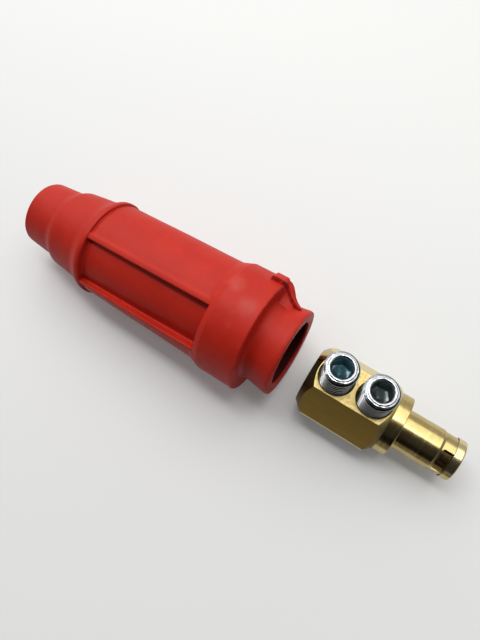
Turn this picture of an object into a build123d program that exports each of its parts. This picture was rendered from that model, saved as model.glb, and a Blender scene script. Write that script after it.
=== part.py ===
from build123d import *
from math import atan2, cos, radians, sin, sqrt, tan
import os

# A cable plug for welding leads, taken apart: a rubber sleeve and, ahead of its mouth, the brass
# contact with two hexagon socket set screws. All lengths are in millimetres. +X runs along the plug
# towards the tip of the pin, +Z is up, and Z = 0 is the surface that the pieces lie on.

# Brass contact, lengths from its rear face
hex_across_flats = 19.7
hex_length = 24.9
rear_face_radius = 8.2
shoulder_radius = 9.1
shoulder_length = 3.6
pin_radius = 6.0
pin_length = 17.5
pin_tip_chamfer = 0.5
cable_bore_radius = 5.75
cable_bore_depth = 24.0
drill_point_angle = 118.0
bore_mouth_chamfer = 0.5

# Locking relief turned near the tip of the pin, with a pocket milled into its near side
tip_ring_length = 2.5
relief_width = 4.0
relief_bevel = 0.7
relief_depth = 0.3
pocket_width = 2.8
pocket_depth = 2.0
pocket_start_angle = 5.0
pocket_sweep_angle = 75.0

# Set screws, standing part way out of their tapped holes
screw_radius = 4.95
screw_length = 12.0
screw_point_radius = 3.0
screw_rim_radius = 4.1
socket_across_flats = 5.0
socket_depth = 5.0
socket_mouth_chamfer = 0.3
screw_stand_out = 8.7
thread_clearance = 0.07
tapped_hole_chamfer = 0.4
first_screw_from_rear = 7.25
screw_spacing = 11.6

# Rubber sleeve, lengths along its axis from its rear face
neck_length = 10.0
neck_rear_radius = 10.3
neck_front_radius = 11.2
neck_step_length = 2.4
shank_rear_radius = 12.7
shank_length = 9.9
shank_front_radius = 13.8
shank_step_length = 3.0
ring_radius = 15.5
ring_length = 1.4
ring_step = 0.65
grip_length = 40.7
collar_step_length = 3.6
collar_step = 1.55
collar_radius = 17.5
collar_length = 11.5
waist_radius = 12.5
waist_length = 2.9
flare_radius = 13.5
flare_length = 5.6
lip_radius = 13.3
lip_length = 0.8
lip_round = 0.3
edge_round = 0.8
soft_round = 2.0

# Hollow inside the sleeve
sleeve_cable_radius = 7.5
mouth_clearance = 0.9
mouth_depth = 11.0
pocket_clearance = 0.25
pocket_end_play = 0.8
pocket_taper_length = 3.0
bore_edge_round = 0.6

# Windows and their rails on both sides of the grip, and the key on the nose
window_side_angle = -47.5
window_width = 14.2
window_lean_angle = 1.4
window_wall = 1.78
rail_width = 1.7
rail_height = 0.45
window_corner_round = 0.8
key_angle = 44.0
key_width = 4.0
key_block_height = 1.2
key_block_length = 4.1
key_fin_drop = 0.6
key_fin_length = 1.8
key_slope_length = 3.2
key_edge_round = 0.4

# Clear length between the sleeve's mouth and the contact's rear face
mouth_to_contact = 7.1

# Stations along the sleeve
neck_end = neck_length
shank_start = neck_end + neck_step_length
shank_end = shank_start + shank_length
ring_start = shank_end + shank_step_length
grip_start = ring_start + ring_length
grip_end = grip_start + grip_length
collar_start = grip_end + collar_step_length
collar_end = collar_start + collar_length
waist_end = collar_end + waist_length
flare_end = waist_end + flare_length
sleeve_length = flare_end + lip_length

# Radii that follow from the sizes above
hex_corner_radius = hex_across_flats / sqrt(3)
pocket_radius = hex_corner_radius + pocket_clearance
mouth_radius = shoulder_radius + mouth_clearance
grip_rear_radius = ring_radius - ring_step
grip_front_radius = collar_radius - collar_step
window_floor_radius = pocket_radius + window_wall

# The sleeve rests on the rear edges of its ring and its collar, which tips its nose up a little
ring_edge_turn = atan2(ring_radius - shank_front_radius, shank_step_length)
collar_edge_turn = atan2(collar_radius - grip_front_radius, collar_step_length)
ring_contact = ring_start + edge_round * tan(ring_edge_turn / 2)
collar_contact = collar_start + edge_round * tan(collar_edge_turn / 2)
sleeve_tilt = atan2(collar_radius - ring_radius, collar_contact - ring_contact)
sleeve_rear_z = (
    edge_round + (ring_radius - edge_round) * cos(sleeve_tilt) - ring_contact * sin(sleeve_tilt)
)

# The whole plug is centred on X = 0
contact_length = hex_length + shoulder_length + pin_length
rear_edge_reach = (
    (neck_rear_radius - edge_round) * sin(sleeve_tilt) + edge_round - edge_round * cos(sleeve_tilt)
)
overall_length = (
    rear_edge_reach + sleeve_length * cos(sleeve_tilt) + mouth_to_contact + contact_length
)
sleeve_rear_x = rear_edge_reach - overall_length / 2
contact_rear_x = overall_length / 2 - contact_length

sleeve_axis = Axis(
    origin=(sleeve_rear_x, 0, sleeve_rear_z), direction=(cos(sleeve_tilt), 0, sin(sleeve_tilt))
)


def sleeve_plane(angle):
    """Plane through the sleeve's axis: x along the axis, y away from it, angle measured from the
    top towards +Y."""
    upward = Vector(-sin(sleeve_tilt), 0, cos(sleeve_tilt))
    outward = upward * cos(radians(angle)) + Vector(0, 1, 0) * sin(radians(angle))
    return Plane(
        origin=sleeve_axis.position,
        x_dir=sleeve_axis.direction,
        z_dir=sleeve_axis.direction.cross(outward),
    )


def window_plane(angle):
    """Plane holding the sleeve's axis, facing out through a window at the given angle."""
    upward = Vector(-sin(sleeve_tilt), 0, cos(sleeve_tilt))
    outward = upward * cos(radians(angle)) + Vector(0, 1, 0) * sin(radians(angle))
    return Plane(origin=sleeve_axis.position, x_dir=sleeve_axis.direction, z_dir=outward)


# Outer form of the sleeve, turned about its axis
outer_points = [
    (0, 0),
    (0, neck_rear_radius),
    (neck_end, neck_front_radius),
    (shank_start, shank_rear_radius),
    (shank_end, shank_front_radius),
    (ring_start, ring_radius),
    (grip_start, ring_radius),
    (grip_start, grip_rear_radius),
    (grip_end, grip_front_radius),
    (collar_start, collar_radius),
    (collar_end, collar_radius),
    (collar_end, waist_radius),
    (waist_end, waist_radius),
    (flare_end, flare_radius),
    (sleeve_length, lip_radius),
    (sleeve_length, 0),
]
outer_rounds = [
    0,
    edge_round,
    soft_round,
    soft_round,
    soft_round,
    edge_round,
    ring_step / 3,
    ring_step / 3,
    soft_round,
    edge_round,
    edge_round,
    edge_round,
    soft_round,
    edge_round,
    lip_round,
    0,
]

with BuildPart() as sleeve_body:
    with BuildSketch(sleeve_plane(0)):
        with BuildLine():
            FilletPolyline(*outer_points, radius=outer_rounds, close=True)
        make_face()
    revolve(axis=sleeve_axis)

# A rail stands along each long edge of the two windows, a little proud of the grip
rail_reach = window_width / 2 + rail_width
window_length = (grip_end + collar_start) / 2 - grip_start
window_centre = grip_start + window_length / 2
rail_points = [
    (ring_start, 0),
    (ring_start, grip_rear_radius + rail_height),
    (grip_end + collar_step_length / 4, grip_front_radius + rail_height),
    (grip_end + collar_step_length / 4, 0),
]

with BuildPart() as rails:
    with BuildSketch(sleeve_plane(0)):
        with BuildLine():
            Polyline(*rail_points, close=True)
        make_face()
    revolve(axis=sleeve_axis)
    with BuildSketch(window_plane(window_side_angle)):
        with Locations((window_centre, 0)):
            Rectangle(window_length + collar_radius, 2 * rail_reach, rotation=window_lean_angle)
    extrude(amount=collar_radius, both=True, mode=Mode.INTERSECT)

# The two windows are cut straight in and leave a round floor
with BuildPart() as window_cuts:
    with BuildSketch(window_plane(window_side_angle)) as window_outline:
        with Locations((window_centre, 0)):
            Rectangle(window_length, window_width, rotation=window_lean_angle)
        fillet(window_outline.vertices(), radius=window_corner_round)
    extrude(amount=collar_radius + key_block_height, both=True)
    with BuildSketch(sleeve_plane(0)):
        with BuildLine():
            Polyline(
                (0, 0),
                (0, window_floor_radius),
                (sleeve_length, window_floor_radius),
                (sleeve_length, 0),
                close=True,
            )
        make_face()
    revolve(axis=sleeve_axis, mode=Mode.SUBTRACT)

# The key is a block on the front edge of the collar, with a lower fin that slopes down to the nose
key_base_radius = (waist_radius + mouth_radius) / 2
key_block_radius = collar_radius + key_block_height
key_fin_radius = key_block_radius - key_fin_drop
key_fin_end = collar_end + key_fin_length
key_points = [
    (collar_end - key_block_length, key_base_radius),
    (collar_end - key_block_length, key_block_radius),
    (collar_end, key_block_radius),
    (collar_end, key_fin_radius),
    (key_fin_end, key_fin_radius),
    (key_fin_end + key_slope_length, waist_radius),
    (key_fin_end + key_slope_length, key_base_radius),
]

with BuildPart() as key:
    with BuildSketch(sleeve_plane(key_angle)):
        with BuildLine():
            Polyline(*key_points, close=True)
        make_face()
    extrude(amount=key_width / 2, both=True)
    fillet(key.faces().filter_by(sleeve_plane(key_angle)).edges(), radius=key_edge_round)

# Hollow: a bore for the cable, a taper, a round pocket for the contact's hexagon and the mouth
pocket_end = sleeve_length - mouth_depth
pocket_start = pocket_end - hex_length - pocket_end_play
hollow_points = [
    (-edge_round, 0),
    (-edge_round, sleeve_cable_radius + bore_edge_round + edge_round),
    (bore_edge_round, sleeve_cable_radius),
    (pocket_start - pocket_taper_length, sleeve_cable_radius),
    (pocket_start, pocket_radius),
    (pocket_end, pocket_radius),
    (pocket_end, mouth_radius),
    (sleeve_length - bore_edge_round, mouth_radius),
    (sleeve_length + edge_round, mouth_radius + bore_edge_round + edge_round),
    (sleeve_length + edge_round, 0),
]

with BuildPart() as rubber_sleeve:
    add(sleeve_body.part)
    add(rails.part)
    add(window_cuts.part, mode=Mode.SUBTRACT)
    add(key.part)
    with BuildSketch(sleeve_plane(0)):
        with BuildLine():
            Polyline(*hollow_points, close=True)
        make_face()
    revolve(axis=sleeve_axis, mode=Mode.SUBTRACT)

# Brass contact: a hexagon bar turned down to a shoulder and a plain pin
hex_axis_z = hex_across_flats / 2
contact_axis = Axis(origin=(contact_rear_x, 0, hex_axis_z), direction=(1, 0, 0))
contact_rear = Plane(origin=contact_axis.position, x_dir=(0, 1, 0), z_dir=(1, 0, 0))
contact_side = Plane(origin=contact_axis.position, x_dir=(1, 0, 0), z_dir=(0, -1, 0))

rear_chamfer = hex_corner_radius - rear_face_radius
front_chamfer = hex_corner_radius - shoulder_radius
turned_envelope = [
    (0, 0),
    (0, rear_face_radius),
    (rear_chamfer, hex_corner_radius),
    (hex_length - front_chamfer, hex_corner_radius),
    (hex_length, shoulder_radius),
    (hex_length, 0),
]

shoulder_end = hex_length + shoulder_length
ring_front = contact_length - tip_ring_length
relief_floor_radius = pin_radius - relief_depth
pin_points = [
    (hex_length, 0),
    (hex_length, shoulder_radius),
    (shoulder_end, shoulder_radius),
    (shoulder_end, pin_radius),
    (ring_front - relief_width, pin_radius),
    (ring_front - relief_width + relief_bevel, relief_floor_radius),
    (ring_front, relief_floor_radius),
    (ring_front, pin_radius),
    (contact_length - pin_tip_chamfer, pin_radius),
    (contact_length, pin_radius - pin_tip_chamfer),
    (contact_length, 0),
]

cable_bore_points = [
    (-bore_mouth_chamfer, 0),
    (-bore_mouth_chamfer, cable_bore_radius + 2 * bore_mouth_chamfer),
    (bore_mouth_chamfer, cable_bore_radius),
    (cable_bore_depth, cable_bore_radius),
    (cable_bore_depth + cable_bore_radius / tan(radians(drill_point_angle / 2)), 0),
]

# The locking pocket is milled around the near side of the relief, right behind the tip ring
pocket_side = contact_side.rotated((-pocket_start_angle, 0, 0))
pocket_floor_radius = pin_radius - pocket_depth
lock_pocket_points = [
    (ring_front - pocket_width, pocket_floor_radius),
    (ring_front, pocket_floor_radius),
    (ring_front, pin_radius + pin_tip_chamfer),
    (ring_front - pocket_width, pin_radius + pin_tip_chamfer),
]

screw_stations = [first_screw_from_rear, first_screw_from_rear + screw_spacing]
tapped_hole_radius = screw_radius + thread_clearance
tapped_hole_points = [
    (0, hex_axis_z),
    (tapped_hole_radius, hex_axis_z),
    (tapped_hole_radius, hex_across_flats - tapped_hole_chamfer),
    (tapped_hole_radius + 2 * tapped_hole_chamfer, hex_across_flats + tapped_hole_chamfer),
    (0, hex_across_flats + tapped_hole_chamfer),
]

with BuildPart() as brass_contact:
    with BuildSketch(contact_rear):
        RegularPolygon(hex_across_flats / 2, 6, major_radius=False)
    extrude(amount=hex_length)
    with BuildSketch(contact_side):
        with BuildLine():
            Polyline(*turned_envelope, close=True)
        make_face()
    revolve(axis=contact_axis, mode=Mode.INTERSECT)
    with BuildSketch(contact_side):
        with BuildLine():
            Polyline(*pin_points, close=True)
        make_face()
    revolve(axis=contact_axis)
    with BuildSketch(contact_side):
        with BuildLine():
            Polyline(*cable_bore_points, close=True)
        make_face()
    revolve(axis=contact_axis, mode=Mode.SUBTRACT)
    with BuildSketch(pocket_side):
        with BuildLine():
            Polyline(*lock_pocket_points, close=True)
        make_face()
    revolve(axis=contact_axis, revolution_arc=pocket_sweep_angle, mode=Mode.SUBTRACT)
    for station in screw_stations:
        hole_origin = (contact_rear_x + station, 0, 0)
        with BuildSketch(Plane(origin=hole_origin, x_dir=(1, 0, 0), z_dir=(0, -1, 0))):
            with BuildLine():
                Polyline(*tapped_hole_points, close=True)
            make_face()
        revolve(axis=Axis(hole_origin, (0, 0, 1)), mode=Mode.SUBTRACT)

# Two equal set screws with a hexagon socket and a chamfered flat point, threads left plain
screw_top = hex_across_flats + screw_stand_out
screw_bottom = screw_top - screw_length
socket_corner_radius = socket_across_flats / sqrt(3)
screw_points = [
    (0, screw_bottom),
    (screw_point_radius, screw_bottom),
    (screw_radius, screw_bottom + screw_radius - screw_point_radius),
    (screw_radius, screw_top - screw_radius + screw_rim_radius),
    (screw_rim_radius, screw_top),
    (0, screw_top),
]
socket_mouth_points = [
    (0, screw_top - socket_corner_radius - socket_mouth_chamfer),
    (socket_corner_radius + socket_mouth_chamfer, screw_top),
    (0, screw_top),
]
socket_turns = {"rear_set_screw": 10, "front_set_screw": 35}

os.makedirs("parts", exist_ok=True)

for (screw_name, socket_turn), station in zip(socket_turns.items(), screw_stations):
    screw_side = Plane(origin=(contact_rear_x + station, 0, 0), x_dir=(1, 0, 0), z_dir=(0, -1, 0))
    socket_top = Plane(origin=(contact_rear_x + station, 0, screw_top))
    screw_axis = Axis(origin=(contact_rear_x + station, 0, 0), direction=(0, 0, 1))
    with BuildPart() as set_screw:
        with BuildSketch(screw_side):
            with BuildLine():
                Polyline(*screw_points, close=True)
            make_face()
        revolve(axis=screw_axis)
        with BuildSketch(socket_top):
            RegularPolygon(socket_across_flats / 2, 6, major_radius=False, rotation=socket_turn)
        extrude(amount=-socket_depth, mode=Mode.SUBTRACT)
        with BuildSketch(screw_side):
            with BuildLine():
                Polyline(*socket_mouth_points, close=True)
            make_face()
        revolve(axis=screw_axis, mode=Mode.SUBTRACT)
    set_screw.part.label = screw_name
    export_step(set_screw.part, f"parts/{screw_name}.step")

rubber_sleeve.part.label = "rubber_sleeve"
export_step(rubber_sleeve.part, "parts/rubber_sleeve.step")
brass_contact.part.label = "brass_contact"
export_step(brass_contact.part, "parts/brass_contact.step")
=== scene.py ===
import math

import bmesh
import bpy
import numpy as np
from mathutils import Matrix, Vector


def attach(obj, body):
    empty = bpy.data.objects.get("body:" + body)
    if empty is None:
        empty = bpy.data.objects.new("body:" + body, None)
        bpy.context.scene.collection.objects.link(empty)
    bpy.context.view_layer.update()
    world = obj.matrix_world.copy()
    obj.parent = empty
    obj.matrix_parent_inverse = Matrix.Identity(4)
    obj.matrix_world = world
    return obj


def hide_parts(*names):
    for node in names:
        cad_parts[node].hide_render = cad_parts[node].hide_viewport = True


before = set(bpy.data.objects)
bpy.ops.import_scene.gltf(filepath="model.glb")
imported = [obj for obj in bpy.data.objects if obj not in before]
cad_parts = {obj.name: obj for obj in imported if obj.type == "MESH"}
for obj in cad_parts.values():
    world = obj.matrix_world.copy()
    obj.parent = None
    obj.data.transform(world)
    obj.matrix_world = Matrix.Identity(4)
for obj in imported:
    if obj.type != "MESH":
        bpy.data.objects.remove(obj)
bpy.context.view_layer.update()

# Paper and room
# The plug lies on white paper that ends a little in front of it. A wide panel lights it from behind
# and above, a strip from overhead and a small window from the left; the viewer's side is darker.
paper_mesh = bpy.data.meshes.new("paper")
paper_side, paper_front, paper_back = 1.2, -0.12, 1.2
paper_mesh.from_pydata(
    [(-paper_side, paper_front, 0), (paper_side, paper_front, 0), (paper_side, paper_back, 0),
     (-paper_side, paper_back, 0)], [], [(0, 1, 2, 3)],
)
paper_sheet = bpy.data.objects.new("paper", paper_mesh)
bpy.context.scene.collection.objects.link(paper_sheet)


def soft_lamp(name, place, aim, size, power, tint=(1, 1, 1)):
    light = bpy.data.lights.new(name, "AREA")
    light.shape = "RECTANGLE"
    light.size, light.size_y = size
    light.energy = power
    light.color = tint
    lamp = bpy.data.objects.new(name, light)
    lamp.location = place
    lamp.rotation_euler = (Vector(aim) - Vector(place)).to_track_quat("-Z", "Y").to_euler()
    bpy.context.scene.collection.objects.link(lamp)


soft_lamp("ceiling_panel", (-0.28, 0.46, 0.74), (-0.28, 0.45, 0.0), (1.40, 0.92), 6.4, (1.0, 0.995, 0.98))
soft_lamp("ceiling_strip", (-0.14, 0.055, 0.74), (-0.14, 0.05, 0.0), (0.60, 0.13), 1.8, (1.0, 1.0, 1.0))
soft_lamp("window_light", (-0.47, -0.17, 0.58), (0.04, 0.0, 0.02), (0.24, 0.20), 0.45, (0.97, 0.99, 1.0))


class Wire:
    """One link between shader nodes. Sums on values add Math nodes to the same material."""

    def __init__(self, tree, socket=None):
        self.tree, self.socket = tree, socket

    def node(self, kind, settings, inputs, output=0):
        made = self.tree.nodes.new(kind)
        for name, value in settings.items():
            setattr(made, name, value)
        for name, value in inputs.items():
            if isinstance(value, Wire):
                self.tree.links.new(value.socket, made.inputs[name])
            else:
                made.inputs[name].default_value = value
        return Wire(self.tree, made.outputs[output])

    def sum(self, operation, first, second):
        return self.node("ShaderNodeMath", {"operation": operation}, {0: first, 1: second})

    def __add__(self, other):
        return self.sum("ADD", self, other)

    def __radd__(self, other):
        return self.sum("ADD", other, self)

    def __sub__(self, other):
        return self.sum("SUBTRACT", self, other)

    def __rsub__(self, other):
        return self.sum("SUBTRACT", other, self)

    def __mul__(self, other):
        return self.sum("MULTIPLY", self, other)

    def __rmul__(self, other):
        return self.sum("MULTIPLY", other, self)

    def ease(self, low, high):
        """0 below low, 1 above high, and a smooth step between."""
        limits = {"Value": self, "From Min": low, "From Max": high}
        return self.node("ShaderNodeMapRange", {"interpolation_type": "SMOOTHSTEP"}, limits)

    def part(self, where, axis):
        return self.node("ShaderNodeSeparateXYZ", {}, {"Vector": where}, axis)

    def mix(self, share, first, second):
        sockets = {0: share, 6: first, 7: second}
        return self.node("ShaderNodeMix", {"data_type": "RGBA"}, sockets, 2)

    def noise(self, where, scale, detail=3.0, rough=0.5):
        sockets = {"Vector": where, "Scale": scale, "Detail": detail, "Roughness": rough}
        return self.node("ShaderNodeTexNoise", {}, sockets)

    def stretch(self, where, scale):
        return self.node("ShaderNodeMapping", {"vector_type": "POINT"}, {"Vector": where, "Scale": scale})

    def bump(self, height, depth, strength=1.0, after=None):
        sockets = {"Height": height, "Distance": depth, "Strength": strength}
        if after is not None:
            sockets["Normal"] = after
        return self.node("ShaderNodeBump", {}, sockets)

    def finish(self, inputs, shader="Principled BSDF"):
        for name, value in inputs.items():
            socket = self.tree.nodes[shader].inputs[name]
            if isinstance(value, Wire):
                self.tree.links.new(value.socket, socket)
            else:
                socket.default_value = value


paper = bpy.data.materials.new("white_paper")
paper.use_nodes = True
paper_mesh.materials.append(paper)
sheet = Wire(paper.node_tree)
sheet.finish({"Roughness": 0.85})
# Painted shade: the paper, as seen and in its glow, is made darker towards the front
front_shade_fade = sheet.part(sheet.node("ShaderNodeTexCoord", {}, {}, "Object"), "Y").ease(paper_front, 0.16)
paper_glow_front_shade = sheet.mix(front_shade_fade, (0.55, 0.55, 0.55, 1), (0.90, 0.90, 0.88, 1))
glow = sheet.node("ShaderNodeEmission", {}, {"Color": paper_glow_front_shade, "Strength": 1.0})
seen = 0.0
for ray in ("Is Camera Ray", "Is Glossy Ray", "Is Transmission Ray"):
    seen = sheet.sum("MAXIMUM", seen, sheet.node("ShaderNodeLightPath", {}, {}, ray))
seen_paper_front_shade = sheet.mix(front_shade_fade, (0.71, 0.71, 0.71, 1), (0.77, 0.77, 0.76, 1))
sheet.finish({"Base Color": sheet.mix(seen, (0.52, 0.52, 0.51, 1), seen_paper_front_shade)})
lit = Wire(paper.node_tree, paper.node_tree.nodes["Principled BSDF"].outputs[0])
pale = sheet.node("ShaderNodeMixShader", {}, {0: seen * 0.16, 1: lit, 2: glow})
sheet.finish({"Surface": pale}, "Material Output")

room = bpy.data.worlds.new("room")
bpy.context.scene.world = room
room.use_nodes = True
air = Wire(room.node_tree)
outward = air.node("ShaderNodeTexCoord", {}, {}, "Generated")
behind = air.part(outward, "Y").ease(-0.08, 0.08)
beside = air.sum("ABSOLUTE", air.part(outward, "X") - 0.12, 0.0).ease(0.40, 0.65)
leftward = 1 - air.part(outward, "X").ease(-0.6, 0.6)
side_light = air.mix(leftward, (0.12, 0.12, 0.125, 1), (0.20, 0.20, 0.21, 1))
daylight = air.mix(beside, (0.030, 0.030, 0.034, 1), side_light)
back_light = air.mix(leftward, (0.38, 0.38, 0.37, 1), (0.95, 0.95, 0.94, 1))
daylight = air.mix(behind, daylight, back_light)
in_view = air.node("ShaderNodeLightPath", {}, {}, "Is Camera Ray")
backdrop = air.mix(in_view, daylight, (0.76, 0.76, 0.75, 1))
air.finish({"Color": backdrop, "Strength": 1.0}, "Background")

camera_data = bpy.data.cameras.new("camera")
camera_data.sensor_fit = "VERTICAL"
camera_data.sensor_height = 24.0
camera_data.lens = 19.5
camera_data.clip_start = 0.01
camera = bpy.data.objects.new("camera", camera_data)
camera_right = Vector((0.83971, 0.54292, -0.01101))
camera_up = Vector((-0.49648, 0.77578, 0.38945))
camera_back = camera_right.cross(camera_up)
camera.matrix_world = Matrix.Translation((0.03502, -0.04788, 0.15680)) @ Matrix(
    (camera_right, camera_up, camera_back)
).transposed().to_4x4()
bpy.context.scene.collection.objects.link(camera)
bpy.context.scene.camera = camera
bpy.context.scene.view_settings.view_transform = "Standard"


# Rubber sleeve
# One moulding of satin red rubber: a stepped neck for the cable, a flared grip with a sunk window on
# either side, a collar and a waisted nose. The hollow inside holds the cable and the brass contact.
def fillet_line(points, rounds, step):
    """Walks a line of corners, rounds each one and divides the runs, and returns rows of points."""
    points = [np.array(p, float) for p in points]
    line = [points[0]]
    for before, corner, after, radius in zip(points, points[1:], points[2:], rounds[1:]):
        come, leave = before - corner, after - corner
        come_length, leave_length = np.linalg.norm(come), np.linalg.norm(leave)
        come, leave = come / come_length, leave / leave_length
        turn = math.acos(np.clip(come @ leave, -1, 1))
        if radius == 0 or turn > math.pi - 0.01:
            line.append(corner)
            continue
        reach = min(radius / math.tan(turn / 2), 0.49 * come_length, 0.49 * leave_length)
        radius = reach * math.tan(turn / 2)
        middle = (come + leave) / np.linalg.norm(come + leave)
        centre = corner + middle * radius / math.sin(turn / 2)
        bows = max(3, int((math.pi - turn) / 0.26))
        first, last = corner + come * reach - centre, corner + leave * reach - centre
        sweep = math.pi - turn
        for k in range(bows + 1):
            share = k / bows
            bow = (math.sin((1 - share) * sweep) * first + math.sin(share * sweep) * last) / math.sin(sweep)
            line.append(centre + bow)
    line.append(points[-1])
    rows = [line[0]]
    for start, end in zip(line, line[1:]):
        count = max(1, int(np.linalg.norm(end - start) / step))
        rows += [start + (end - start) * k / count for k in range(1, count + 1)]
    return np.array(rows)


def skin(name, rings, wrap_rows=False):
    """Joins rings of points, each closed on itself, into one smooth mesh of quads."""
    rows, columns, _ = rings.shape
    corner = np.arange(rows * columns).reshape(rows, columns)
    below = np.roll(corner, -1, axis=0) if wrap_rows else corner[1:]
    above = corner if wrap_rows else corner[:-1]
    quads = np.stack([above, np.roll(above, -1, axis=1), np.roll(below, -1, axis=1), below], axis=-1)
    mesh = bpy.data.meshes.new(name)
    mesh.from_pydata(rings.reshape(-1, 3).tolist(), [], quads.reshape(-1, 4).tolist())
    mesh.polygons.foreach_set("use_smooth", [True] * len(mesh.polygons))
    mesh.update()
    piece = bpy.data.objects.new(name, mesh)
    bpy.context.scene.collection.objects.link(piece)
    return piece


sleeve_tilt = math.radians(2.508397)
sleeve_rear = np.array([-72.1977, 0.0, 14.3694])
sleeve_along = np.array([math.cos(sleeve_tilt), 0.0, math.sin(sleeve_tilt)])
sleeve_upward = np.array([-math.sin(sleeve_tilt), 0.0, math.cos(sleeve_tilt)])
sleeve_across = np.array([0.0, 1.0, 0.0])
droop_start, droop_run, droop_depth = 81.5, 4.0, 0.5
droop_down, droop_side = 0.47, 0.88


def on_sleeve(station, height, side):
    """Turns a place on the sleeve, in millimetres, into metres. The soft nose droops a little."""
    droop = droop_depth * np.clip((station - droop_start) / droop_run, 0, 1)
    place = (
        sleeve_rear
        + np.multiply.outer(station, sleeve_along)
        + np.multiply.outer(height - droop_down * droop, sleeve_upward)
        + np.multiply.outer(side - droop_side * droop, sleeve_across)
    )
    return place / 1000


grip_start, grip_end, collar_start, sleeve_end = 26.7, 67.4, 71.0, 91.8
outer_corners = [
    (0.0, 8.1), (0.0, 10.3), (10.0, 11.2), (12.4, 12.6), (22.3, 13.8), (25.3, 15.5), (grip_start, 15.5),
    (grip_start, 14.85), (grip_end, 15.95), (collar_start, 17.3), (82.5, 17.5), (82.5, 12.5),
    (85.4, 12.5), (91.0, 13.4), (sleeve_end, 13.2), (sleeve_end, 10.2),
]
outer_rounds = [0, 0.9, 5.0, 4.0, 5.0, 1.8, 0.15, 0.18, 2.5, 0.8, 0.45, 1.6, 6.0, 0.8, 0.22]
outer_rows = fillet_line(outer_corners, outer_rounds, 0.5)
hollow_corners = [
    (sleeve_end, 10.2), (91.6, 10.0), (80.8, 10.0), (80.8, 11.62), (55.1, 11.62), (52.1, 7.5), (0.6, 7.5),
    (0.0, 8.1),
]
hollow_rows = fillet_line(hollow_corners, [0, 0.1, 0.3, 0.4, 0.5, 1.0, 0.3], 2.0)[1:-1]

# Each window is laid out across its width, from the middle of the floor to the foot of its rail
window_half, window_lean, window_floor = 7.1, math.tan(math.radians(1.4)), 13.4
window_front = (grip_end + collar_start) / 2
window_middle = (grip_start + window_front) / 2
floor_round, rim_round = 0.5, 0.35
window_turns = math.radians(-47.5), math.radians(132.5)
rail_rear, rail_rise, rail_limit = 15.3, 1.1 / 43.0, 16.4
panel_radius, panel_columns = 15.8, 56
bends = np.radians([30, 60, 90])
floor_lines = np.linspace(0, window_half - floor_round, 15)
side_flat = window_half + np.array(
    [-0.36, -0.24, -0.14, -0.06, 0.0, 0.06, 0.13, 0.21, 0.30, 0.42,
     0.75, 1.05, 1.30, 1.48, 1.62, 1.78, 2.10]
)


def across_window(grip, rail, side):
    """Offsets from the window's middle and heights above the sleeve's axis, going out to one side."""
    floor_height = np.sqrt(window_floor**2 - floor_lines**2)
    foot = math.sqrt(window_floor**2 - (window_half - floor_round) ** 2)
    corner_offset = window_half - floor_round + floor_round * np.sin(bends)
    corner = np.array([corner_offset, foot + floor_round * (1 - np.cos(bends))])
    rim = math.sqrt((rail - rim_round) ** 2 - window_half**2)
    wall_height = np.linspace(corner[1, -1], rim, 6)[1:]
    wall = np.array([np.full(5, window_half), wall_height])
    lip = np.array([window_half + rim_round * (1 - np.cos(bends)), np.zeros(3)])
    lip_radius = rail - rim_round * (1 - np.sin(bends))
    lip[1] = np.sqrt(lip_radius**2 - lip[0] ** 2)
    top_offset = window_half + np.array([0.75, 1.05, 1.30, 1.48, 1.62, 1.78])
    top_radius = grip + (rail - grip) * np.array([1, 1, 1, 0.9, 0.5, 0.1])
    top = np.array([top_offset, np.sqrt(top_radius**2 - top_offset**2)])
    floor = np.array([floor_lines, floor_height])
    return np.concatenate([floor, corner, wall, lip, top], axis=1) * np.array([[side], [1]])


flat_offsets = np.concatenate([floor_lines, side_flat])


def sleeve_ring(station, radius, sunk):
    """One closed ring of the sleeve. Where sunk is 1 it follows the windows, and at 0 it is round."""
    drift = (np.clip(station, grip_start, window_front) - window_middle) * window_lean
    rail = max(radius, min(rail_rear + (station - 25.3) * rail_rise, rail_limit))
    ring = []
    edges = []
    for middle, shift in zip(window_turns, (drift, -drift)):
        halves = []
        for side in (-1, 1):
            round_angle = np.arcsin((side * flat_offsets + shift) / panel_radius)
            flat = np.array([radius * np.sin(round_angle), radius * np.cos(round_angle)])
            if sunk > 0:
                deep = across_window(radius, rail, side)
                outward = np.hypot(deep[0], deep[1])
                offset = deep[0] + shift
                deep = np.array([offset, np.sqrt(np.maximum(outward**2 - offset**2, 1))])
                flat = flat * (1 - sunk) + deep * sunk
            halves.append(flat)
        half_ring = np.concatenate([halves[0][:, :0:-1], halves[1]], axis=1)
        angle = np.arctan2(half_ring[0], half_ring[1]) + middle
        length = np.hypot(half_ring[0], half_ring[1])
        ring.append((angle, length))
        edges.append((angle[0], angle[-1]))
    panels = []
    for start, end in ((edges[0][1], edges[1][0]), (edges[1][1], edges[0][0] + 2 * math.pi)):
        angle = np.linspace(start, end, panel_columns + 2)[1:-1]
        panels.append((angle, np.full(panel_columns, radius)))
    angle = np.concatenate([ring[0][0], panels[0][0], ring[1][0], panels[1][0]])
    length = np.concatenate([ring[0][1], panels[0][1], ring[1][1], panels[1][1]])
    swell = 0.035 * np.sin(3 * angle + station * 0.11) + 0.025 * np.sin(5 * angle - station * 0.23 + 1.0)
    length = length + swell - 0.06
    return on_sleeve(np.full(len(angle), station), length * np.cos(angle), length * np.sin(angle))


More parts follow.
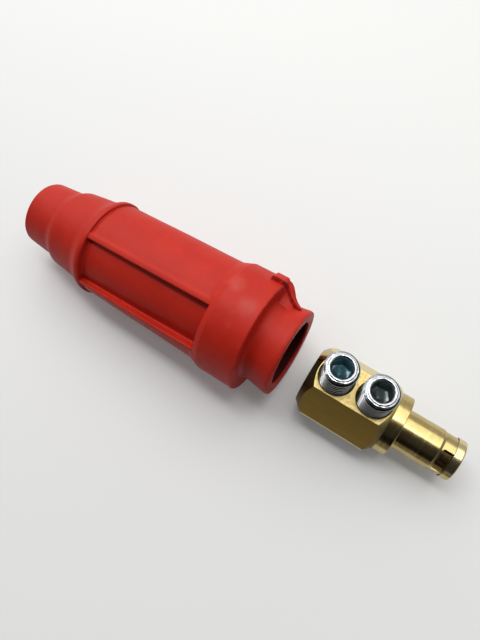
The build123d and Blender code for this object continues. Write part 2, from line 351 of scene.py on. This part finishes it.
rings = []
passed = []
sink_rear = [
    (-0.25, 0.0), (-0.08, 0.03), (0.0, 0.10), (0.02, 0.30), (0.04, 0.60), (0.07, 0.85), (0.22, 0.96),
    (0.6, 1.0),
]
sink_front = [(-offset, sunk) for offset, sunk in sink_rear[::-1]]
for edge, sinks in ((grip_start, sink_rear), (window_front, sink_front)):
    for offset, sunk in sinks:
        passed.append((round(edge + offset, 4), sunk))
stations, radii = outer_rows[:, 0], outer_rows[:, 1]
grip_line = (stations > 26.0) & (stations < 75.0)
outline = []
for station, radius in outer_rows:
    near_rear = abs(station - grip_start - 0.18) < 0.44
    near_front = abs(station - window_front) < 0.65
    if near_rear or near_front:
        continue
    sunk = 1.0 if grip_start < station < window_front else 0.0
    outline.append((station, radius, sunk))
for station, sunk in passed:
    if station < 40:
        step = np.interp(station, [26.55, 26.70, 26.76, 26.92], [15.5, 15.30, 14.72, 14.70])
        outline.append((station, step, sunk))
    else:
        outline.append((station, np.interp(station, stations[grip_line], radii[grip_line]), sunk))
front_part = [row for row in outline if 20 < row[0] < 82.0]
rear_part = [(s, r, 0.0) for s, r in outer_rows if s <= 20]
nose_part = [(s, r, 0.0) for s, r in outer_rows if s >= 82.0]
front_part.sort(key=lambda row: row[0])
for station, radius, sunk in rear_part + front_part + nose_part:
    rings.append(sleeve_ring(station, radius, sunk))
for station, radius in hollow_rows:
    rings.append(sleeve_ring(station, radius, 0.0))
sleeve = skin("sleeve_moulding", np.array(rings), wrap_rows=True)
sleeve.data.flip_normals()


red_rubber = bpy.data.materials.new("red_rubber")
red_rubber.use_nodes = True
rubber = Wire(red_rubber.node_tree)
where = rubber.node("ShaderNodeTexCoord", {}, {}, "Object")
cloud = rubber.noise(where, 60.0, 4.0, 0.6)
grain = rubber.noise(where, 2600.0, 3.0, 0.6)
blot = rubber.noise(where, 340.0, 4.0, 0.6)
tone = rubber.mix(cloud.ease(0.35, 0.70), (0.43, 0.015, 0.006, 1), (0.495, 0.019, 0.0075, 1))
tone = rubber.mix(blot.ease(0.58, 0.80) * 0.35, tone, (0.61, 0.050, 0.026, 1))
rear_point = tuple(sleeve_rear / 1000)
offset = rubber.node("ShaderNodeVectorMath", {"operation": "SUBTRACT"}, {0: where, 1: rear_point})
ahead = rubber.node(
    "ShaderNodeVectorMath", {"operation": "DOT_PRODUCT"}, {0: offset, 1: tuple(sleeve_along)}, "Value"
)
upward = rubber.node(
    "ShaderNodeVectorMath", {"operation": "DOT_PRODUCT"}, {0: offset, 1: tuple(sleeve_upward)}, "Value"
)
sideways = rubber.part(offset, "Y")
bent = ahead.ease(droop_start / 1000, (droop_start + droop_run) / 1000) * (droop_depth / 1000)
upward, sideways = upward + bent * droop_down, sideways + bent * droop_side
reach = rubber.sum("SQRT", upward * upward + sideways * sideways, 0.0)
# Painted shade: the hollow inside the sleeve, from just inside the rear end to just inside the mouth, is
# coloured nearly black
bore_shade = (1 - reach.ease(0.0100, 0.0104)) * ahead.ease(0.0004, 0.0020) * (1 - ahead.ease(0.0909, 0.0915))
# Painted highlight: two pale patches on top of the collar
sheen_patches = 0.0
for spot, depth in (((-0.0005, 0.0036, 0.0346), 0.35), ((0.0055, -0.0011, 0.0352), 0.25)):
    apart = rubber.node("ShaderNodeVectorMath", {"operation": "DISTANCE"}, {0: where, 1: spot}, "Value")
    sheen_patches = sheen_patches + (1 - apart.ease(0.0005, 0.0038)) * cloud.ease(0.25, 0.60) * depth
tone = rubber.mix(sheen_patches, tone, (0.60, 0.170, 0.130, 1))
tone = rubber.mix(bore_shade * 0.96, tone, (0.022, 0.002, 0.0015, 1))
shine = 0.42 + cloud * 0.12 + blot * 0.08 + bore_shade * 0.35
wave = rubber.noise(where, 95.0, 1.5, 0.5)
relief = rubber.bump(grain, 0.00005, 0.35)
relief = rubber.bump(blot, 0.00012, 0.25, relief)
relief = rubber.bump(wave, 0.0012, 0.45, relief)
rubber.finish({"Base Color": tone, "Roughness": shine, "Normal": relief, "Specular IOR Level": 0.21})
sleeve.data.materials.append(red_rubber)
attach(sleeve, "plug")
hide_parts("rubber_sleeve")

# Key on the nose
# Part of the same moulding: a low block on the front edge of the collar, and a thin fin that slopes
# from it down to the nose. Its edges are a little ragged where the mould's halves meet.
key_turn = math.radians(44.0)
key_line = np.array([
    78.35, 78.45, 78.7, 79.6, 80.6, 81.6, 82.3, 82.7, 83.1, 83.5, 84.0, 84.5, 85.0, 85.4, 85.8, 86.2,
    86.7, 87.2, 87.8, 88.5, 89.3, 90.0,
])
near_edge = np.interp(
    key_line, [78.35, 78.45, 78.7, 82.3, 82.7, 83.5, 84.8, 86.5, 87.8, 89.3, 90.0],
    [17.1, 18.1, 18.5, 18.6, 17.8, 16.8, 15.6, 14.6, 14.0, 13.5, 12.8],
)
far_edge = np.interp(
    key_line, [78.35, 78.45, 78.7, 82.3, 82.7, 84.3, 85.7, 86.2, 87.4, 89.3, 90.0],
    [17.1, 18.1, 18.5, 18.6, 18.1, 17.6, 15.9, 15.1, 14.0, 13.1, 12.5],
)
near_edge = near_edge + np.where(key_line > 82.5, 0.10, 0.05) * np.sin(key_line * 9.0)
key_near = np.interp(key_line, [78.35, 82.3, 82.9, 84.5, 86.5, 90.0], [2.0, 2.0, -0.5, -0.3, 0.3, 0.7])
key_far = np.interp(key_line, [78.35, 82.4, 82.9, 85.5, 90.0], [2.0, 2.0, 2.1, 1.9, 1.2])
key_rings = []
for station, near, far, left, right in zip(key_line, near_edge, far_edge, key_near, key_far):
    slope = np.linspace(near, far, 5)
    hollow = 0.0 if station < 82.5 else 0.22
    middle = (right - left) / 2
    across = np.concatenate([
        [-left - 2.4, -left - 0.9, -left - 0.08, -left], -left + np.array([0.05, 0.16, 0.32]),
        [middle - 0.3, middle, middle + 0.3],
        right - np.array([0.32, 0.16, 0.05]), [right] * 3,
    ])
    length = np.concatenate([
        [12.3, 12.3 + 0.42 * max(near - 12.9, 0.0), near - 1.35, near - 0.32],
        near - np.array([0.15, 0.04, 0.0]), slope[1:4] - hollow, far - np.array([0.0, 0.04, 0.15]),
        [far - 0.32, (11.0 + far) / 2, 11.0],
    ])
    height = length * math.cos(key_turn) - across * math.sin(key_turn)
    side = length * math.sin(key_turn) + across * math.cos(key_turn)
    key_rings.append(on_sleeve(np.full(len(across), station), height, side))
key = skin("sleeve_key", np.array(key_rings))


def close_ends(piece):
    """Fills the open ends of a skin and points its faces outwards."""
    shape = bmesh.new()
    shape.from_mesh(piece.data)
    bmesh.ops.holes_fill(shape, edges=[edge for edge in shape.edges if edge.is_boundary])
    bmesh.ops.recalc_face_normals(shape, faces=shape.faces)
    shape.to_mesh(piece.data)
    shape.free()


close_ends(key)
key_mesh = key.data
key_mesh.set_sharp_from_angle(angle=math.radians(60))
key_mesh.materials.append(red_rubber)
# The near wall of the key, in columns 2 to 4, gets a material of its own: a darker red, rougher, with a
# fine ragged bump
key_near_wall = bpy.data.materials.new("key_near_wall")
key_near_wall.use_nodes = True
near_wall = Wire(key_near_wall.node_tree)
where = near_wall.node("ShaderNodeTexCoord", {}, {}, "Object")
ragged = near_wall.noise(where, 1500.0, 4.0, 0.65)
tone = near_wall.mix(ragged.ease(0.40, 0.68), (0.20, 0.004, 0.004, 1), (0.46, 0.012, 0.010, 1))
near_wall.finish({
    "Base Color": tone, "Roughness": 0.50 + ragged * 0.25, "Specular IOR Level": 0.12,
    "Normal": near_wall.bump(ragged, 0.0003, 0.6),
})
key_mesh.materials.append(key_near_wall)
key_columns = len(key_rings[0])
for face in key_mesh.polygons[: key_columns * (len(key_rings) - 1)]:
    face.material_index = 1 if face.index % key_columns in (2, 3, 4) else 0
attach(key, "plug")


# Brass contact
# A length of hexagon bar, chamfered at both ends and turned down to a shoulder and a plain pin. It is
# drilled from behind for the conductor, tapped from above for the screws, and milled near the tip.
contact_rear_x, contact_axis_z = 26.6143, 9.85
contact_length, bar_end, shoulder_end, ring_start = 46.0, 24.9, 28.5, 43.5
shoulder_radius, pin_radius, relief_radius, bore_radius = 9.1, 6.0, 5.7, 5.75


def turned(name, rows, segments=144):
    """Turns rows of (station, radius) about the contact's axis."""
    angle = np.arange(segments) * 2 * math.pi / segments
    rings = []
    for station, radius in rows:
        x, height = np.full(segments, contact_rear_x + station), contact_axis_z + radius * np.cos(angle)
        rings.append(np.stack([x, radius * np.sin(angle), height], axis=-1))
    piece = skin(name, np.array(rings) / 1000)
    close_ends(piece)
    return piece


def cut_with(piece, tool, operation):
    step = piece.modifiers.new(tool.name, "BOOLEAN")
    step.object, step.operation, step.solver = tool, operation, "EXACT"
    bpy.context.view_layer.update()
    done = bpy.data.meshes.new_from_object(piece.evaluated_get(bpy.context.evaluated_depsgraph_get()))
    piece.modifiers.clear()
    piece.data = done
    bpy.data.objects.remove(tool)


bar_corner = 19.7 / math.sqrt(3)
bar_rows = fillet_line(
    [
        (0.0, 6.0), (0.0, 8.2), (bar_corner - 8.2, bar_corner),
        (bar_end + shoulder_radius - bar_corner, bar_corner), (bar_end, shoulder_radius),
        (shoulder_end, shoulder_radius), (shoulder_end, pin_radius), (39.5, pin_radius),
        (40.2, relief_radius), (ring_start, relief_radius), (ring_start, pin_radius),
        (contact_length, pin_radius), (contact_length, 3.0),
    ],
    [0, 0.10, 0, 0, 0.25, 0.22, 0.20, 0.12, 0.15, 0.0, 0.08, 0.45], 3.0,
)
contact = turned("contact_bar", bar_rows)
edge_round = 0.22
bar_section = []
for corner in range(6):
    middle = math.radians(90 + 60 * corner)
    reach = bar_corner - edge_round / math.cos(math.radians(30))
    for swing in np.radians([-30, -15, 0, 15, 30]):
        across = reach * math.sin(middle) + edge_round * math.sin(middle + swing)
        height = reach * math.cos(middle) + edge_round * math.cos(middle + swing)
        bar_section.append((across, height))
bar_section = np.array(bar_section)
prism_rings = [
    np.stack([np.full(30, x), bar_section[:, 0], contact_axis_z + bar_section[:, 1]], axis=-1)
    for x in (contact_rear_x - 2, contact_rear_x + 50)
]
prism = skin("hexagon_stock", np.array(prism_rings) / 1000)
close_ends(prism)
cut_with(contact, prism, "INTERSECT")

drill_rows = fillet_line(
    [(-0.5, 6.75), (0.5, bore_radius), (24.0, bore_radius), (27.3, 0.2)], [0, 0.1, 0.1], 4.0
)
cut_with(contact, turned("conductor_drill", drill_rows), "DIFFERENCE")

screw_stations = (7.25, 18.85)
turns = np.arange(96) * 2 * math.pi / 96
for station in screw_stations:
    tap_rings = []
    for height, radius in (
        (contact_axis_z, 5.18), (14.0, 5.18), (19.4, 5.18), (19.52, 5.20), (19.72, 5.34), (20.2, 5.7),
    ):
        x = contact_rear_x + station - 0.08 + radius * np.cos(turns)
        tap_rings.append(np.stack([x, radius * np.sin(turns), np.full(96, height)], axis=-1))
    tap = skin("tap", np.array(tap_rings) / 1000)
    close_ends(tap)
    cut_with(contact, tap, "DIFFERENCE")

mill_rings = []
for angle in np.radians(np.linspace(-80, -5, 26)):
    corners = [(40.7, 4.0), (ring_start, 4.0), (ring_start, 6.6), (40.7, 6.6)]
    mill_rings.append([
        (contact_rear_x + x, r * math.sin(angle), contact_axis_z + r * math.cos(angle)) for x, r in corners
    ])
mill = skin("mill", np.array(mill_rings) / 1000)
close_ends(mill)
cut_with(contact, mill, "DIFFERENCE")

# The cuts leave some points on top of each other and a few wide faces with many corners
weld_reach = 1e-6
shape = bmesh.new()
shape.from_mesh(contact.data)
bmesh.ops.remove_doubles(shape, verts=shape.verts, dist=weld_reach)
bmesh.ops.triangulate(shape, faces=[face for face in shape.faces if len(face.verts) > 4])
shape.to_mesh(contact.data)
shape.free()
contact.data.polygons.foreach_set("use_smooth", [True] * len(contact.data.polygons))
contact.data.set_sharp_from_angle(angle=math.radians(26))
flats = contact.modifiers.new("flat_faces", "WEIGHTED_NORMAL")
flats.keep_sharp = True

bare_brass = bpy.data.materials.new("bare_brass")
bare_brass.use_nodes = True
brass = Wire(bare_brass.node_tree)
where = brass.node("ShaderNodeTexCoord", {}, {}, "Object")
facing = brass.node("ShaderNodeNewGeometry", {}, {}, "True Normal")
lean = brass.part(facing, "X")
end_face = brass.sum("ABSOLUTE", lean, 0.0).ease(0.15, 0.40)
along = brass.part(where, "X")
turned_part = brass.sum("MAXIMUM", end_face, along.ease(0.0512, 0.0514))
flat_part = 1 - turned_part
drawn = brass.noise(brass.stretch(where, (60, 2600, 2600)), 1.0, 3.0, 0.6)
lathe_marks = brass.noise(brass.stretch(where, (5200, 90, 90)), 1.0, 3.0, 0.6)
speck = brass.noise(where, 2400.0, 2.0, 0.7)
stain = brass.noise(where, 220.0, 4.0, 0.65)
marks = drawn + (lathe_marks - drawn) * turned_part
tone = brass.mix(stain.ease(0.35, 0.70), (0.50, 0.38, 0.15, 1), (0.60, 0.47, 0.20, 1))
drawn_tone = brass.mix(stain.ease(0.35, 0.70), (0.36, 0.26, 0.08, 1), (0.44, 0.33, 0.11, 1))
tone = brass.mix(flat_part, tone, drawn_tone)
toward_front, upright = brass.part(facing, "Y"), brass.part(facing, "Z")
milled = upright.ease(0.90, 0.97) * flat_part
tone = brass.mix(milled, tone, (0.46, 0.365, 0.150, 1))
fleck = brass.noise(where, 900.0, 2.0, 0.6).ease(0.46, 0.62) * milled
tone = brass.mix(fleck * 0.62, tone, (0.27, 0.19, 0.055, 1))
# Painted highlight: the flats facing away from the viewer are made lighter
tone = brass.mix(toward_front.ease(0.55, 0.80) * flat_part, tone, (0.76, 0.66, 0.35, 1))
# Painted shade: the flats facing the viewer are made dark, and their marks fainter
near_flat_shade = (0 - toward_front).ease(0.55, 0.80) * flat_part
tone = brass.mix(near_flat_shade, tone, (0.20, 0.125, 0.026, 1))
corner_height = brass.sum("ABSOLUTE", brass.part(where, "Z") - contact_axis_z / 1000, 0.0)
# Painted highlight: a thin light line along the corner at the axis height on the viewer's side
edge_highlight = (1 - corner_height.ease(0.0001, 0.0004)) * near_flat_shade
tone = brass.mix(edge_highlight * 0.85, tone, (0.85, 0.74, 0.46, 1))
# Painted reflection: a dark band along the viewer's side of the turned shoulder, pin and chamfers
dark_reflection_band = (0 - toward_front).ease(0.56, 0.74) * upright.ease(0.28, 0.40) * turned_part
tone = brass.mix(dark_reflection_band * 0.90, tone, (0.10, 0.065, 0.016, 1))
tone = brass.mix(speck.ease(0.55, 0.75) * 0.5, tone, (0.26, 0.18, 0.06, 1))
tone = brass.mix(marks.ease(0.45, 0.80) * (0.35 - near_flat_shade * 0.27), tone, (0.74, 0.62, 0.34, 1))
axis_point = (0, 0, contact_axis_z / 1000)
off_axis = brass.node("ShaderNodeVectorMath", {"operation": "SUBTRACT"}, {0: where, 1: axis_point})
off_axis = brass.node("ShaderNodeVectorMath", {"operation": "MULTIPLY"}, {0: off_axis, 1: (0, 1, 1)})
reach = brass.node("ShaderNodeVectorMath", {"operation": "LENGTH"}, {0: off_axis}, "Value")
tip = (contact_rear_x + contact_length) / 1000
on_ring = along.ease(tip - 0.0026, tip - 0.0024)
in_pocket = (1 - reach.ease(0.0052, 0.0056)) * along.ease(tip - 0.0056, tip - 0.0053) * (1 - on_ring)
beside = brass.part(where, "Y")
rear_end = (0 - lean).ease(0.15, 0.45) * (1 - beside.ease(0.0005, 0.0025) * upright.ease(0.3, 0.5))
bar_front = (contact_rear_x + 26.0) / 1000
on_bar = 1 - along.ease(bar_front, bar_front + 0.0003)
front_chamfer = end_face * (0 - toward_front).ease(0.10, 0.45) * on_bar
# Painted shade: the pocket by the tip, the rear end apart from its upper far part, and the viewer's side of
# the front chamfer are coloured nearly black
painted_shade = brass.sum("MAXIMUM", in_pocket * 0.85, rear_end * 0.75)
painted_shade = brass.sum("MAXIMUM", painted_shade, front_chamfer * 0.80)
# Painted highlight: the upward-facing part of the ring at the tip is made lighter
ring_highlight = on_ring * upright.ease(0.45, 0.70)
tone = brass.mix(ring_highlight * 0.6, tone, (0.82, 0.72, 0.44, 1))
tone = brass.mix(painted_shade, tone, (0.045, 0.030, 0.012, 1))
shine = 0.14 + marks * 0.10 + stain * 0.06 + flat_part * 0.16 + painted_shade * 0.3
relief = brass.bump(marks, 0.00003, 0.5)
relief = brass.bump(speck, 0.00003, 0.35 + flat_part * 0.3, relief)
brass.finish({"Base Color": tone, "Roughness": shine, "Metallic": 1.0, "Normal": relief})
contact.data.materials.clear()
contact.data.materials.append(bare_brass)
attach(contact, "plug")
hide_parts("brass_contact")

# Set screws
# Two short M10 screws of bright zinc plated steel, with a rolled thread, a hexagon socket and a
# chamfered point. They stand part way out of their holes, ready for the conductor.
screw_top, screw_bottom, pitch = 28.4, 16.4, 1.5
crest, root, rim = 4.88, 4.10, 3.80
socket_flat, socket_corner = 2.5, 5.0 / math.sqrt(3)
top_round = (
    (-0.12, 0.24), (-0.05, 0.15), (0.05, 0.07), (0.16, 0.02), (0.30, 0.0), (0.45, 0.03), (0.58, 0.09),
    (0.68, 0.17),
)
socket_end = ((0.94, 5.0), (0.86, 5.05), (0.75, 5.25), (0.5, 5.65), (0.25, 6.05), (0.04, 6.35))

for name, station, turn, socket_tint in (
    ("rear_set_screw", screw_stations[0], 10, (0.10, 0.24, 0.28, 1)),
    ("front_set_screw", screw_stations[1], 35, (0.12, 0.16, 0.15, 1)),
):
    angle = turns + math.radians(turn)
    side_angle = np.mod(turns + math.pi / 6, math.pi / 3) - math.pi / 6
    hexagon = socket_flat / np.cos(side_angle)
    rows = []
    for height in np.linspace(screw_bottom, screw_top, 361):
        phase = np.mod(height / pitch - angle / (2 * math.pi), 1.0)
        tooth = np.abs(phase - 0.5) * 2
        rise = np.clip((tooth - 0.22) / 0.66, 0, 1)
        thread = root + (crest - root) * rise * rise * (3 - 2 * rise)
        end_cone = min(3.0 + (height - screw_bottom), rim + (screw_top - height) * 1.6)
        if height < screw_top - 0.25:
            rows.append((np.minimum(thread, end_cone), np.full(96, height)))
    for inset, fall in top_round:
        rows.append((np.full(96, rim - inset), np.full(96, screw_top - fall)))
    mouth = socket_corner + 0.14
    rows.append((np.full(96, mouth), np.full(96, screw_top - 0.26)))
    for share in (0.25, 0.5, 0.75, 1.0):
        radius = mouth + (hexagon - mouth) * share
        rows.append((radius, screw_top - 0.26 - (mouth - radius) * 1.3))
    for depth in (1.0, 2.0, 3.0, 4.0, 4.9):
        rows.append((hexagon, np.full(96, screw_top - depth)))
    for share, depth in socket_end:
        radius = 2.4 * share + (hexagon - 2.4) * max(share - 0.75, 0) * 4
        rows.append((radius, np.full(96, screw_top - depth)))
    rings = []
    for radius, height in rows:
        x = contact_rear_x + station + radius * np.cos(angle)
        rings.append(np.stack([x, radius * np.sin(angle), height], axis=-1))
    screw = skin(name + "_threaded", np.array(rings) / 1000)
    close_ends(screw)
    zinc_plate = bpy.data.materials.new(name + "_zinc")
    zinc_plate.use_nodes = True
    plating = Wire(zinc_plate.node_tree)
    where = plating.node("ShaderNodeTexCoord", {}, {}, "Object")
    centre = ((contact_rear_x + station) / 1000, 0, screw_top / 1000)
    offset = plating.node("ShaderNodeVectorMath", {"operation": "SUBTRACT"}, {0: where, 1: centre})
    level = plating.node("ShaderNodeVectorMath", {"operation": "MULTIPLY"}, {0: offset, 1: (1, 1, 0)})
    reach = plating.node("ShaderNodeVectorMath", {"operation": "LENGTH"}, {0: level}, "Value")
    inside = 1 - reach.ease(0.0029, 0.0031)
    below = (0 - plating.part(offset, "Z")).ease(0.0006, 0.0010)
    fine = plating.noise(where, 3000.0, 3.0, 0.6)
    dents = plating.noise(where, 520.0, 2.0, 0.5)
    cloud = plating.noise(where, 640.0, 3.0, 0.6)
    bright = cloud.ease(0.35, 0.75) * (1 - below) + below * 0.85
    tone = plating.mix(bright, (0.36, 0.38, 0.39, 1), (0.69, 0.71, 0.72, 1))
    # Painted shade: the grooves of the thread on the screw's side are coloured nearly black
    groove_shade = 1 - reach.ease(0.00452, 0.00476)
    tone = plating.mix(groove_shade * reach.ease(0.0039, 0.0041) * below, tone, (0.020, 0.021, 0.024, 1))
    tone = plating.mix(inside * 0.85, tone, socket_tint)
    shine = 0.10 + fine * 0.10 + cloud * 0.08 + inside * 0.18
    plating.finish({
        "Base Color": tone, "Roughness": shine, "Metallic": 1.0,
        "Normal": plating.bump(dents * (1 - below), 0.0004, 0.5, plating.bump(fine, 0.00002, 0.3)),
    })
    screw.data.materials.append(zinc_plate)
    screw.data.set_sharp_from_angle(angle=math.radians(38))
    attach(screw, name.replace("_set", ""))
    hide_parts(name)
